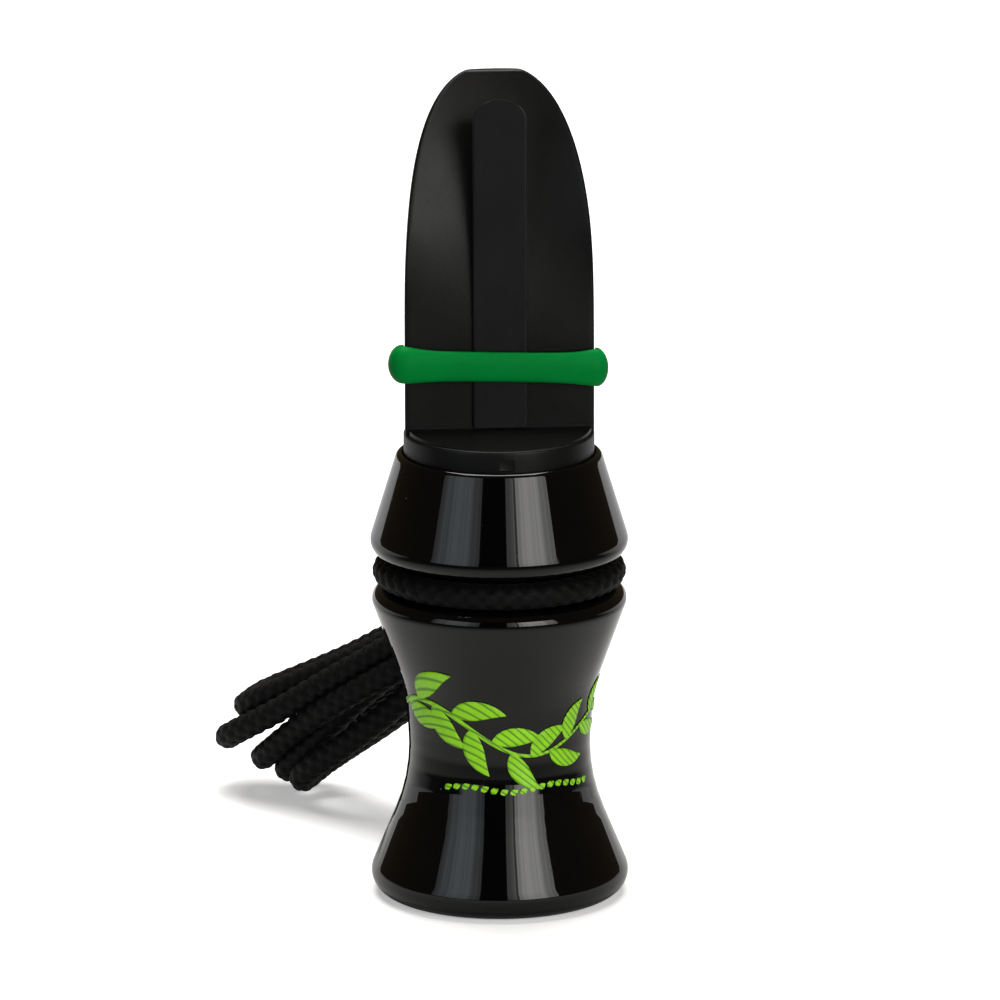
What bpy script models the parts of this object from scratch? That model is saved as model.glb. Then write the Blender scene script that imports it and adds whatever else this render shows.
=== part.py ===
"""Open-reed game call with a cord lanyard.

A turned barrel, a moulded toneboard that plugs into it, a flat reed held on the toneboard by a
stretched rubber band, and a braided cord that loops round the barrel's groove and is folded into
a hank behind it. Units are metres, +Z runs up the barrel, the origin is the middle of the foot,
and the toneboard's flat side faces -Y. Dimensions below are in millimetres.
"""

import math

import bmesh
import bpy
from mathutils import Matrix, Vector

MM = 0.001
MERGE = 0.00001

# Barrel: heights from the foot, radii from the axis
TURN_STEPS = 48
BARREL_TOP = 66.7
RIM_OUTER_R = 15.0
RECESS_R = 14.2
RECESS_FLOOR = 65.3
COLLAR_CORNER = (19.81, 51.2)
COLLAR_ROUND = 2.4
GROOVE_R = 14.6
GROOVE_TOP = 51.2
GROOVE_BOTTOM = 46.5
GROOVE_ROUND = 1.5
SHOULDER_CORNER_R = 19.55
SHOULDER_ROUND = 1.9
WAIST_HIGH = (14.06, 31.3)
WAIST_LOW = (12.9, 18.57)
FOOT_CORNER_R = 20.55
FOOT_ROUND = 3.15
BELL_R = 14.2
BORE_R = 7.9
BELL_TOP = 11.5
SEAT_R = 9.5
SEAT_FLOOR = 42.0

# Toneboard
TENON_R = 9.4
TENON_BOTTOM = 43.0
FLANGE_R = 14.0
FLANGE_BOTTOM = 65.6
SHELF = 69.8
EDGE_ROUND = 0.45
FACE_Y = -1.8
TONGUE_HALF = 13.88
TONGUE_TOP = 121.9
TONGUE_ROOT = 68.4
OUTLINE_LENGTH = 39.55
OUTLINE_POWER = 3.05
OUTLINE_ROUNDNESS = 0.4
CURVE_START = 83.0
CURVE_RADIUS = 75.0
HOLLOW_RADIUS = 50.0
BACK_Y = 14.1
TIP_THICKNESS = 1.6
BACK_TAPER_START = 75.0
BACK_TAPER_POWER = 1.5
TONGUE_SECTIONS = 18
FACE_POINTS = 12
BACK_POINTS = 22
CHANNEL_HALF = 2.6
CHANNEL_FRONT = -1.5
CHANNEL_BACK = 4.4
CHANNEL_OPEN_FROM = 71.2
CHANNEL_END = 108.0
MARK_SIZE = (2.2, 0.6, 1.7)
MARK_HEIGHT = 67.75

# Seal rings on the tenon
SEAL_HEIGHTS = {"seal_ring_upper": 60.0, "seal_ring_lower": 49.0}
SEAL_R = 8.6
SEAL_SECTION_R = 0.75
SEAL_GROOVE_R = 7.65
SEAL_GROOVE_HALF = 0.95

# Reed
REED_WIDTH = 7.9
REED_THICKNESS = 0.3
REED_BACK = 2.1
REED_TIP = 119.2
REED_ARC = 3.0
GAP = 0.3

# Tuning band
BAND_HEIGHT = 79.9
BAND_HALF = 2.25
BAND_THICKNESS = 1.7
BAND_CORNER = (13.6, -2.0)
BAND_CORNER_R = 0.7
BAND_BACK = 16.4
BAND_EDGE_ROUND = 0.7

# Lanyard
CORD_R = 1.85
LOOP_R = 16.7
LOOP_HEIGHT = 48.83
KNOT_CENTRE = (0.0, 22.95, 47.6)
KNOT_HALF = (5.4, 4.25, 4.5)
HANK_TOP = (0.4, 28.1, 38.5)
HANK_FOOT = (-27.8, 56.7, 9.9)
HANK_SPREAD = (0.565, 0.788, 0.247)
HANK_TOP_R = 5.1
HANK_FOOT_R = 7.6
HANK_HALF_THICKNESS = 8.6
TIE_PLACE = 0.2
TIE_R = 1.1


def clear_scene():
    for thing in list(bpy.data.objects):
        bpy.data.objects.remove(thing, do_unlink=True)


def new_collection(name):
    collection = bpy.data.collections.new(name)
    bpy.context.scene.collection.children.link(collection)
    return collection


def material(name, colour, roughness, coat=0.0):
    made = bpy.data.materials.new(name)
    made.use_nodes = True
    shader = made.node_tree.nodes["Principled BSDF"]
    shader.inputs["Base Color"].default_value = (*colour, 1.0)
    shader.inputs["Roughness"].default_value = roughness
    shader.inputs["Metallic"].default_value = 0.0
    shader.inputs["Coat Weight"].default_value = coat
    return made


def place(thing, collection, finish=None):
    for holder in list(thing.users_collection):
        holder.objects.unlink(thing)
    collection.objects.link(thing)
    if finish:
        thing.data.materials.clear()
        thing.data.materials.append(finish)
    return thing


def from_bmesh(name, built, collection, finish=None, origin=(0.0, 0.0, 0.0)):
    """Make an object of a bmesh drawn in millimetres, with its origin at a point of the object."""
    shift = Vector(origin)
    bmesh.ops.translate(built, verts=built.verts, vec=-shift)
    bmesh.ops.scale(built, verts=built.verts, vec=(MM, MM, MM))
    mesh = bpy.data.meshes.new(name)
    built.to_mesh(mesh)
    built.free()
    thing = bpy.data.objects.new(name, mesh)
    thing.location = shift * MM
    return place(thing, collection, finish)


def smooth(thing, angle=35.0):
    thing.data.shade_smooth()
    thing.data.set_sharp_from_angle(angle=math.radians(angle))


def rounded(corners, closed=True, step=20.0):
    """Turn (r, z, fillet) corners into an outline whose fillets are arcs."""
    points = []
    count = len(corners)
    for i, (r, z, fillet) in enumerate(corners):
        here = Vector((r, z))
        if fillet <= 0.0 or (not closed and i in (0, count - 1)):
            points.append(here)
            continue
        back = (Vector(corners[i - 1][:2]) - here).normalized()
        ahead = (Vector(corners[(i + 1) % count][:2]) - here).normalized()
        half = back.angle(ahead) / 2.0
        reach = fillet / math.tan(half)
        centre = here + (back + ahead).normalized() * fillet / math.sin(half)
        start = here + back * reach - centre
        turn = math.pi - 2.0 * half
        if start.x * back.y - start.y * back.x > 0.0:
            turn = -turn
        pieces = max(2, math.ceil(abs(math.degrees(turn)) / step))
        for k in range(pieces + 1):
            spin = Matrix.Rotation(turn * k / pieces, 2)
            points.append(centre + spin @ start)
    return points


def turned(name, points, collection, finish=None, steps=TURN_STEPS):
    """Spin a closed outline of (r, z) points round the Z axis."""
    mesh = bpy.data.meshes.new(name)
    verts = [(p[0] * MM, 0.0, p[1] * MM) for p in points]
    edges = [(i, (i + 1) % len(verts)) for i in range(len(verts))]
    mesh.from_pydata(verts, edges, [])
    thing = bpy.data.objects.new(name, mesh)
    place(thing, collection, finish)
    screw = thing.modifiers.new("Turn", "SCREW")
    screw.axis = "Z"
    screw.steps = steps
    screw.render_steps = steps
    screw.use_merge_vertices = True
    screw.merge_threshold = MERGE
    screw.use_smooth_shade = True
    return thing


def baked(thing):
    """Replace an object's mesh by its evaluated one, without its modifiers."""
    bpy.context.view_layer.update()
    depsgraph = bpy.context.evaluated_depsgraph_get()
    mesh = bpy.data.meshes.new_from_object(thing.evaluated_get(depsgraph))
    thing.modifiers.clear()
    thing.data = mesh
    return thing


def boolean(thing, other, operation):
    cut = thing.modifiers.new(other.name, "BOOLEAN")
    cut.operation = operation
    cut.object = other
    cut.solver = "EXACT"


def hide_tool(thing):
    thing.hide_render = True
    thing.display_type = "WIRE"


def box(name, low, high, collection):
    built = bmesh.new()
    size = Vector(high) - Vector(low)
    middle = (Vector(high) + Vector(low)) / 2.0
    bmesh.ops.create_cube(built, size=1.0)
    bmesh.ops.scale(built, verts=built.verts, vec=size)
    bmesh.ops.translate(built, verts=built.verts, vec=middle)
    return from_bmesh(name, built, collection)


# Barrel

def barrel(parts, finish):
    """One turned piece: collar, lanyard groove, shoulder, waist, foot, bell, bore and seat."""
    corners = [
        (SEAT_R, RECESS_FLOOR, 0.3),
        (RECESS_R, RECESS_FLOOR, 0.0),
        (RECESS_R, BARREL_TOP, 0.25),
        (RIM_OUTER_R, BARREL_TOP, 0.9),
        (*COLLAR_CORNER, COLLAR_ROUND),
        (GROOVE_R, GROOVE_TOP, GROOVE_ROUND),
        (GROOVE_R, GROOVE_BOTTOM, GROOVE_ROUND),
        (SHOULDER_CORNER_R, GROOVE_BOTTOM, SHOULDER_ROUND),
        (*WAIST_HIGH, 16.0),
        (*WAIST_LOW, 27.0),
        (FOOT_CORNER_R, 0.0, FOOT_ROUND),
        (BELL_R, 0.0, 0.4),
        (BORE_R, BELL_TOP, 14.0),
        (BORE_R, SEAT_FLOOR, 0.0),
        (SEAT_R, SEAT_FLOOR, 0.0),
    ]
    return turned("barrel", rounded(corners, step=24.0), parts, finish)


# Toneboard

def outline_half(z):
    """Half the tongue's width at a height: straight sides, then a long rounded end."""
    along = max(0.0, (z - CURVE_START) / OUTLINE_LENGTH)
    return TONGUE_HALF * (1.0 - along ** OUTLINE_POWER) ** OUTLINE_ROUNDNESS


def recession(z):
    """How far the middle of the face has curved back from the reed's plane."""
    return max(0.0, z - CURVE_START) ** 2 / (2.0 * CURVE_RADIUS)


def face_y(x, z):
    """The face is flat at the band, and hollow and curved back above it."""
    deep = recession(z)
    hollow = min(1.0 / (2.0 * HOLLOW_RADIUS), deep / outline_half(z) ** 2)
    return FACE_Y + deep - hollow * x * x


def back_y(z):
    along = max(0.0, (z - BACK_TAPER_START) / (TONGUE_TOP - BACK_TAPER_START))
    tip = FACE_Y + recession(TONGUE_TOP) + TIP_THICKNESS
    return BACK_Y - (BACK_Y - tip) * along ** BACK_TAPER_POWER


def tongue_section(z):
    half = outline_half(z)
    edge = face_y(half, z)
    ring = []
    for i in range(FACE_POINTS):
        x = half * (2.0 * i / FACE_POINTS - 1.0)
        ring.append((x, face_y(x, z), z))
    for i in range(BACK_POINTS):
        angle = math.pi * i / BACK_POINTS
        ring.append((half * math.cos(angle), edge + (back_y(z) - edge) * math.sin(angle), z))
    return ring


def tongue(tools):
    """A loft from the D-shaped root to the thin tip, with sections closer together at the tip."""
    built = bmesh.new()
    rings = []
    for i in range(TONGUE_SECTIONS + 1):
        rise = math.sin(math.pi / 2.0 * i / TONGUE_SECTIONS)
        z = TONGUE_ROOT + (TONGUE_TOP - TONGUE_ROOT) * rise
        rings.append([built.verts.new(p) for p in tongue_section(z)])
    for low, high in zip(rings, rings[1:]):
        for i in range(len(low)):
            j = (i + 1) % len(low)
            built.faces.new((low[i], low[j], high[j], high[i]))
    built.faces.new(list(reversed(rings[0])))
    built.faces.new(rings[-1])
    bmesh.ops.recalc_face_normals(built, faces=built.faces)
    made = from_bmesh("tongue_tool", built, tools)
    hide_tool(made)
    return made


def toneboard(parts, tools, finish):
    """Plug flange, tenon with two seal grooves, tongue, air channel and index mark."""
    corners = [
        (0.0, SHELF, 0.0),
        (FLANGE_R, SHELF, EDGE_ROUND),
        (FLANGE_R, FLANGE_BOTTOM, 0.3),
        (TENON_R, FLANGE_BOTTOM, 0.0),
    ]
    for z in SEAL_HEIGHTS.values():
        corners += [
            (TENON_R, z + SEAL_GROOVE_HALF, 0.0),
            (SEAL_GROOVE_R, z + SEAL_GROOVE_HALF, 0.0),
            (SEAL_GROOVE_R, z - SEAL_GROOVE_HALF, 0.0),
            (TENON_R, z - SEAL_GROOVE_HALF, 0.0),
        ]
    corners += [(TENON_R, TENON_BOTTOM, 0.6), (0.0, TENON_BOTTOM, 0.0)]
    plug = turned("toneboard", rounded(corners, step=30.0), parts, finish)
    baked(plug)

    way = box(
        "channel_tool",
        (-CHANNEL_HALF, CHANNEL_FRONT, TENON_BOTTOM - 2.0),
        (CHANNEL_HALF, CHANNEL_BACK, CHANNEL_OPEN_FROM + 1.0),
        tools,
    )
    mouth = box(
        "channel_mouth_tool",
        (-CHANNEL_HALF, -CHANNEL_BACK, CHANNEL_OPEN_FROM),
        (CHANNEL_HALF, CHANNEL_BACK, CHANNEL_END),
        tools,
    )
    round_end = bmesh.new()
    bmesh.ops.create_cone(
        round_end, cap_ends=True, segments=24, radius1=CHANNEL_HALF, radius2=CHANNEL_HALF,
        depth=2.0 * CHANNEL_BACK, matrix=Matrix.Rotation(math.pi / 2.0, 4, "X"),
    )
    bmesh.ops.translate(round_end, verts=round_end.verts, vec=(0.0, 0.0, CHANNEL_END))
    end = from_bmesh("channel_end_tool", round_end, tools)
    middle = Vector((0.0, -FLANGE_R, MARK_HEIGHT))
    half = Vector(MARK_SIZE) / 2.0
    mark = box("index_mark_tool", middle - half, middle + half, tools)

    boolean(plug, tongue(tools), "UNION")
    for tool in (way, mouth, end, mark):
        hide_tool(tool)
        boolean(plug, tool, "DIFFERENCE")
    smooth(plug)
    return plug


def seal_ring(name, height, parts, finish):
    bpy.ops.mesh.primitive_torus_add(
        location=(0.0, 0.0, height * MM), major_segments=40, minor_segments=8,
        major_radius=SEAL_R * MM, minor_radius=SEAL_SECTION_R * MM,
    )
    ring = bpy.context.object
    ring.name = name
    place(ring, parts, finish)
    smooth(ring, 60.0)
    return ring


# Reed

def strip(name, low, high, round_tip, hinge, parts, finish):
    """A flat strip of the reed's width between two heights, with a square or rounded top."""
    half = REED_WIDTH / 2.0
    outline = [(-half, low), (half, low)]
    if round_tip:
        steps = 16
        for i in range(steps + 1):
            angle = math.pi * i / steps
            rise = REED_ARC * (math.sin(angle) - 1.0)
            outline.append((half * math.cos(angle), high + rise))
    else:
        outline += [(half, high), (-half, high)]
    built = bmesh.new()
    front = [built.verts.new((x, -REED_BACK - REED_THICKNESS, z)) for x, z in outline]
    built.faces.new(front)
    pulled = bmesh.ops.extrude_face_region(built, geom=built.faces[:])
    moved = [v for v in pulled["geom"] if isinstance(v, bmesh.types.BMVert)]
    bmesh.ops.translate(built, verts=moved, vec=(0.0, REED_THICKNESS, 0.0))
    bmesh.ops.recalc_face_normals(built, faces=built.faces)
    return from_bmesh(name, built, parts, finish, origin=(0.0, -REED_BACK, hinge))


def reed(parts, finish):
    """One strip of film: its tail is clamped, and its blade flexes where the face starts to curve."""
    tail = strip(
        "reed_tail", SHELF + GAP, CURVE_START - GAP, False, CURVE_START, parts, finish,
    )
    blade = strip("reed_blade", CURVE_START, REED_TIP, True, CURVE_START, parts, finish)
    return tail, blade


# Tuning band

def band_outline(offset):
    """The D-shaped loop round tongue and reed, pushed out by an offset."""
    corner_x, corner_y = BAND_CORNER
    points = []
    steps = 6
    for i in range(steps):
        angle = math.pi / 2.0 * (i / steps - 1.0)
        reach = BAND_CORNER_R + offset
        points.append((corner_x + reach * math.cos(angle), corner_y + reach * math.sin(angle)))
    arc = 36
    for i in range(arc // 2 + 1):
        angle = math.pi * i / arc
        side = (corner_x + BAND_CORNER_R + offset) * math.cos(angle)
        points.append((side, corner_y + (BAND_BACK + offset) * math.sin(angle)))
    mirrored = [(-x, y) for x, y in reversed(points) if x > 1e-6]
    return points + mirrored


def tuning_band(parts, finish):
    curve = bpy.data.curves.new("tuning_band", "CURVE")
    curve.dimensions = "2D"
    curve.fill_mode = "BOTH"
    curve.extrude = BAND_HALF * MM
    for offset in (BAND_THICKNESS, 0.0):
        outline = band_outline(offset)
        spline = curve.splines.new("POLY")
        spline.points.add(len(outline) - 1)
        spline.use_cyclic_u = True
        for point, (x, y) in zip(spline.points, outline):
            point.co = (x * MM, y * MM, 0.0, 1.0)
    flat = bpy.data.objects.new("tuning_band_outline", curve)
    flat.location = (0.0, 0.0, BAND_HEIGHT * MM)
    place(flat, parts)
    band = meshed(flat, "tuning_band", parts, finish)
    bevel = band.modifiers.new("Round edges", "BEVEL")
    bevel.width = BAND_EDGE_ROUND * MM
    bevel.segments = 2
    bevel.limit_method = "ANGLE"
    bevel.angle_limit = math.radians(60.0)
    smooth(band, 50.0)
    return band


def meshed(curve_object, name, parts, finish):
    """Turn a curve object into a mesh object with welded caps, in the same place."""
    bpy.context.view_layer.update()
    depsgraph = bpy.context.evaluated_depsgraph_get()
    mesh = bpy.data.meshes.new_from_object(curve_object.evaluated_get(depsgraph))
    mesh.name = name
    welded = bmesh.new()
    welded.from_mesh(mesh)
    bmesh.ops.remove_doubles(welded, verts=welded.verts, dist=MERGE)
    bmesh.ops.recalc_face_normals(welded, faces=welded.faces)
    welded.to_mesh(mesh)
    welded.free()
    made = bpy.data.objects.new(name, mesh)
    made.matrix_world = curve_object.matrix_world.copy()
    bpy.data.objects.remove(curve_object, do_unlink=True)
    return place(made, parts, finish)


# Lanyard

def lanyard_loop(parts, finish):
    bpy.ops.mesh.primitive_torus_add(
        location=(0.0, 0.0, LOOP_HEIGHT * MM), major_segments=48, minor_segments=10,
        major_radius=LOOP_R * MM, minor_radius=CORD_R * MM,
    )
    ring = bpy.context.object
    ring.name = "lanyard_loop"
    place(ring, parts, finish)
    smooth(ring, 60.0)
    return ring


def lanyard_knot(parts, finish):
    built = bmesh.new()
    bmesh.ops.create_uvsphere(built, u_segments=20, v_segments=12, radius=1.0)
    bmesh.ops.scale(built, verts=built.verts, vec=KNOT_HALF)
    bmesh.ops.translate(built, verts=built.verts, vec=KNOT_CENTRE)
    knot = from_bmesh("lanyard_knot", built, parts, finish, origin=KNOT_CENTRE)
    smooth(knot, 60.0)
    return knot


def hank_frame(along=0.0):
    """Axes of the folded hank: X down its runs, Y across the fan of folds, Z through its depth."""
    top = Vector(HANK_TOP)
    run = (Vector(HANK_FOOT) - top).normalized()
    depth = Vector(HANK_SPREAD)
    depth = (depth - run * depth.dot(run)).normalized()
    across = depth.cross(run)
    turn = Matrix((run, across, depth)).transposed().to_4x4()
    place_at = top.lerp(Vector(HANK_FOOT), along) * MM
    return Matrix.Translation(place_at) @ turn


def lanyard_hank(parts, finish):
    """The folded cord as one tapered outline with round ends, as thick as its end folds."""
    length = (Vector(HANK_FOOT) - Vector(HANK_TOP)).length
    lean = math.acos((HANK_TOP_R - HANK_FOOT_R) / length)
    steps = 12
    outline = []
    for i in range(steps + 1):
        angle = lean + (2.0 * math.pi - 2.0 * lean) * i / steps
        outline.append((HANK_TOP_R * math.cos(angle), HANK_TOP_R * math.sin(angle)))
    for i in range(steps + 1):
        angle = -lean + 2.0 * lean * i / steps
        outline.append((length + HANK_FOOT_R * math.cos(angle), HANK_FOOT_R * math.sin(angle)))
    curve = bpy.data.curves.new("lanyard_hank", "CURVE")
    curve.dimensions = "2D"
    curve.fill_mode = "BOTH"
    curve.extrude = HANK_HALF_THICKNESS * MM
    spline = curve.splines.new("POLY")
    spline.points.add(len(outline) - 1)
    spline.use_cyclic_u = True
    for point, (x, y) in zip(spline.points, outline):
        point.co = (x * MM, y * MM, 0.0, 1.0)
    flat = bpy.data.objects.new("lanyard_hank_outline", curve)
    flat.matrix_world = hank_frame()
    place(flat, parts)
    return meshed(flat, "lanyard_hank", parts, finish)


def lanyard_tie(parts, finish):
    """A turn of cord round the hank, near its top."""
    half_width = HANK_TOP_R + (HANK_FOOT_R - HANK_TOP_R) * TIE_PLACE + TIE_R + 2.0 * GAP
    half_depth = HANK_HALF_THICKNESS + TIE_R + GAP
    corner = 1.5
    outline = []
    steps = 4
    for quarter in range(4):
        middle_x = (half_width - corner) * (1.0 if quarter in (0, 3) else -1.0)
        middle_y = (half_depth - corner) * (1.0 if quarter in (0, 1) else -1.0)
        for i in range(steps + 1):
            angle = math.pi / 2.0 * (quarter + i / steps)
            outline.append((middle_x + corner * math.cos(angle), middle_y + corner * math.sin(angle)))
    curve = bpy.data.curves.new("lanyard_tie", "CURVE")
    curve.dimensions = "3D"
    curve.bevel_depth = TIE_R * MM
    curve.bevel_resolution = 2
    spline = curve.splines.new("POLY")
    spline.points.add(len(outline) - 1)
    spline.use_cyclic_u = True
    for point, (y, z) in zip(spline.points, outline):
        point.co = (0.0, y * MM, z * MM, 1.0)
    ring = bpy.data.objects.new("lanyard_tie_path", curve)
    ring.matrix_world = hank_frame(TIE_PLACE)
    place(ring, parts)
    return meshed(ring, "lanyard_tie", parts, finish)


# Assembly

def empty(name, location, parts):
    holder = bpy.data.objects.new(name, None)
    holder.empty_display_size = 0.01
    holder.location = location
    parts.objects.link(holder)
    return holder


def hold(holder, *pieces):
    """Parent pieces to a holder without moving them."""
    bpy.context.view_layer.update()
    for piece in pieces:
        piece.parent = holder
        piece.matrix_parent_inverse = holder.matrix_world.inverted()


def main():
    clear_scene()
    parts = new_collection("game_call")
    tools = new_collection("cutters")

    acrylic = material("black_acrylic", (0.006, 0.006, 0.007), 0.05, coat=0.3)
    moulded = material("black_moulded_plastic", (0.022, 0.023, 0.024), 0.42)
    film = material("black_reed_film", (0.018, 0.018, 0.019), 0.32)
    rubber = material("green_rubber", (0.0, 0.22, 0.045), 0.5)
    seal = material("black_seal_rubber", (0.012, 0.012, 0.012), 0.6)
    cord = material("black_cord", (0.01, 0.01, 0.01), 0.85)

    barrel(parts, acrylic)

    board = toneboard(parts, tools, moulded)
    tail, blade = reed(parts, film)
    band = tuning_band(parts, rubber)
    seals = [seal_ring(name, z, parts, seal) for name, z in SEAL_HEIGHTS.items()]
    insert = empty("insert_axis", (0.0, 0.0, SHELF * MM), parts)
    hold(insert, board, tail, blade, band, *seals)

    loop = lanyard_loop(parts, cord)
    knot = lanyard_knot(parts, cord)
    hank = lanyard_hank(parts, cord)
    tie = lanyard_tie(parts, cord)
    swivel = empty("lanyard_axis", (0.0, 0.0, LOOP_HEIGHT * MM), parts)
    hold(swivel, loop, knot, hank, tie)


main()
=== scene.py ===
"""Looks of an open-reed game call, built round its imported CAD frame.

A glossy turned barrel with a printed sprig, a moulded toneboard with a flat reed under a green
rubber band, and a braided lanyard that loops round the barrel's groove and lies folded behind it.
Everything is in metres in the frame's own axes: +Z up the barrel, the flat face towards -Y.
"""

import math

import bmesh
import bpy
import numpy as np
from mathutils import Matrix, Vector


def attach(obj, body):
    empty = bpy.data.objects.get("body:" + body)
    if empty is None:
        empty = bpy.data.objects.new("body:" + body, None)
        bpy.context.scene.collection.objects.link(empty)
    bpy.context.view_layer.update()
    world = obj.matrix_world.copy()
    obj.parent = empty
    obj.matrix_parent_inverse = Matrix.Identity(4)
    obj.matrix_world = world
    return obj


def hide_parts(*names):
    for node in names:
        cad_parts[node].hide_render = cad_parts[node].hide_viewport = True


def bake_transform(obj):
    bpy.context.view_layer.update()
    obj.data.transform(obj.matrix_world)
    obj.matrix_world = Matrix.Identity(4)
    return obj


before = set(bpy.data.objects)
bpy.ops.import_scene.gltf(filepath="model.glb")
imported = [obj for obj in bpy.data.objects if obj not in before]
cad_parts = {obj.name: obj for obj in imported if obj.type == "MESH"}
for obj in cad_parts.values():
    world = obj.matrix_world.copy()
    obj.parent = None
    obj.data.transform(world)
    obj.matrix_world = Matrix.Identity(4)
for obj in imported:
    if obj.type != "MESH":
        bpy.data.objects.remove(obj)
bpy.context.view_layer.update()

MM = 0.001

# Camera and stage
CAMERA_AT = (-0.1042, -1.2456, 0.3645)
CAMERA_TURN = -4.788
CAMERA_ROLL = -0.13
CAMERA_TILT = 13.723
LENS = 315.6
SENSOR = 36.0
FLOOR_HALF = 6.0
FLOOR_GLOW = 0.36
TABLE_DROP = 0.0002
OVERHEAD_BACK = 0.40
WORLD_DIM = (0.074, 0.056, 0.034, 1.0)
WORLD_WHITE = 1.1
WHITE = (1.0, 1.0, 1.0, 1.0)

# Barrel, in millimetres: heights from the foot, radii from the axis
TURN_STEPS = 180
ARC_STEP = 6.0
PROFILE_SPACING = 0.6
BARREL_TOP = 66.7
RECESS_R = 14.2
RECESS_FLOOR = 65.3
GROOVE_R = 14.6
WAIST_HIGH = (14.06, 31.3)
WAIST_LOW = (12.9, 18.57)
BORE_R = 7.9
SEAT_R = 9.5
SEAT_FLOOR = 42.0

# Toneboard, in millimetres
TENON_R = 9.4
TENON_BOTTOM = 43.0
FLANGE_R = 14.0
FLANGE_BOTTOM = 65.6
SHELF = 69.8
FACE_Y = -1.8
TONGUE_HALF = 13.88
TONGUE_TOP = 121.9
TONGUE_ROOT = 68.4
OUTLINE_LENGTH = 39.55
OUTLINE_POWER = 3.05
OUTLINE_ROUNDNESS = 0.4
CURVE_START = 83.0
CURVE_RADIUS = 75.0
HOLLOW_RADIUS = 48.0
HOLLOW_BLEND = 0.0045
BACK_Y = 14.1
TIP_THICKNESS = 1.6
BACK_TAPER_START = 75.0
BACK_TAPER_POWER = 1.5
TONGUE_EDGE_ROUND = 0.4
TIP_ROUND = 0.35
CHANNEL_HALF = 2.6
CHANNEL_FRONT = -1.5
CHANNEL_BACK = 4.4
CHANNEL_OPEN_FROM = 71.2
CHANNEL_END = 108.0
MARK_SIZE = (2.2, 0.6, 1.7)
MARK_HEIGHT = 67.75
RAMP_R = 13.6
RAMP_HALF = 13.3
RAMP_RISE = 0.8
RAMP_TOP = 1.2
RAMP_STEP = 0.12
RAMP_SINK = 0.02
SUNK = 0.3

# Seal rings, in millimetres
SEAL_HEIGHTS = {"seal_ring_upper": 60.0, "seal_ring_lower": 49.0}
SEAL_R = 8.6
SEAL_SECTION_R = 0.83
SEAL_GROOVE_R = 7.65
SEAL_GROOVE_HALF = 0.95

# Reed, in millimetres
REED_WIDTH = 7.9
REED_THICKNESS = 0.3
REED_BACK = 2.1
REED_TAIL = 70.75
REED_TIP = 119.55
REED_ARC = 3.0
REED_EDGE = 0.09

# Tuning band, in millimetres
BAND_HEIGHT = 79.9
BAND_CORNER = (13.6, -2.0)
BAND_LINE_R = 1.4
BAND_BACK = 14.95
BAND_HALF_THICKNESS = 0.98
BAND_FRONT_HALF = 2.2
BAND_BULB_HALF = 2.9
BAND_BALL = 2.35
BAND_BACK_HALF = 1.6
BAND_LEAN = 0.1
BAND_TWIST = 0.034
BAND_FLARE = 0.45
BAND_SWELL = 2.4
BAND_TRIM = 0.9

# Lanyard, in millimetres
CORD_R = 2.0
LOOP_R = 16.7
LOOP_HEIGHT = 48.83
KNOT_CENTRE = (0.0, 22.95, 47.6)
KNOT_HALF = (5.4, 4.25, 4.5)
HANK_TOP = (0.4, 28.1, 38.5)
HANK_FOOT = (-27.8, 56.7, 9.9)
HANK_SPREAD = (0.565, 0.788, 0.247)
TIE_R = 1.1
TIE_DOWN = 9.6
TIE_HALF = (7.2, 9.6)
TIE_LEAD = 2.2
KNOT_CORD_R = 1.65
CORD_GAP = 1.84 * CORD_R
HANK_ROOM = 22.9

# Print on the waist, in millimetres
PRINT_LIFT = 0.045
PRINT_THICKNESS = 0.12
STEM_HEIGHT = 28.6
BEADS_HEIGHT = 18.6


# Mesh helpers

def mesh_object(name, verts, faces, finish, smooth_angle=None):
    """A mesh object from points in millimetres."""
    mesh = bpy.data.meshes.new(name)
    mesh.from_pydata([tuple(c * MM for c in v) for v in verts], [], faces)
    mesh.update()
    made = bpy.data.objects.new(name, mesh)
    bpy.context.scene.collection.objects.link(made)
    mesh.shade_smooth()
    if smooth_angle is not None:
        mesh.set_sharp_from_angle(angle=math.radians(smooth_angle))
    if finish:
        mesh.materials.append(finish)
    return made


def tube_faces(rings, around, closed=False, caps=True):
    """Quads between rings of points, all of the same count, and flat caps on open ends."""
    faces = []
    last = rings if closed else rings - 1
    for i in range(last):
        low, high = i * around, (i + 1) % rings * around
        for j in range(around):
            k = (j + 1) % around
            faces.append((low + j, low + k, high + k, high + j))
    if caps and not closed:
        faces.append(tuple(reversed(range(around))))
        faces.append(tuple(range((rings - 1) * around, rings * around)))
    return faces


def rounded(corners, closed=True, step=ARC_STEP):
    """Turn (r, z, fillet) corners into an outline whose fillets are arcs."""
    points = []
    count = len(corners)
    for i, (r, z, fillet) in enumerate(corners):
        here = Vector((r, z))
        if fillet <= 0.0 or (not closed and i in (0, count - 1)):
            points.append(here)
            continue
        back = (Vector(corners[i - 1][:2]) - here).normalized()
        ahead = (Vector(corners[(i + 1) % count][:2]) - here).normalized()
        half = back.angle(ahead) / 2.0
        reach = fillet / math.tan(half)
        centre = here + (back + ahead).normalized() * fillet / math.sin(half)
        start = here + back * reach - centre
        turn = math.pi - 2.0 * half
        if start.x * back.y - start.y * back.x > 0.0:
            turn = -turn
        pieces = max(2, math.ceil(abs(math.degrees(turn)) / step))
        for k in range(pieces + 1):
            spin = Matrix.Rotation(turn * k / pieces, 2)
            points.append(centre + spin @ start)
    return points


def divided(points, spacing, closed=True):
    """Add points along an outline's long stretches, so that shading stays true beside fillets."""
    out = []
    pairs = list(zip(points, points[1:] + points[:1] if closed else points[1:]))
    for here, ahead in pairs:
        pieces = max(1, math.ceil((ahead - here).length / spacing))
        out += [here.lerp(ahead, k / pieces) for k in range(pieces)]
    if not closed:
        out.append(points[-1])
    return out


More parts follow.
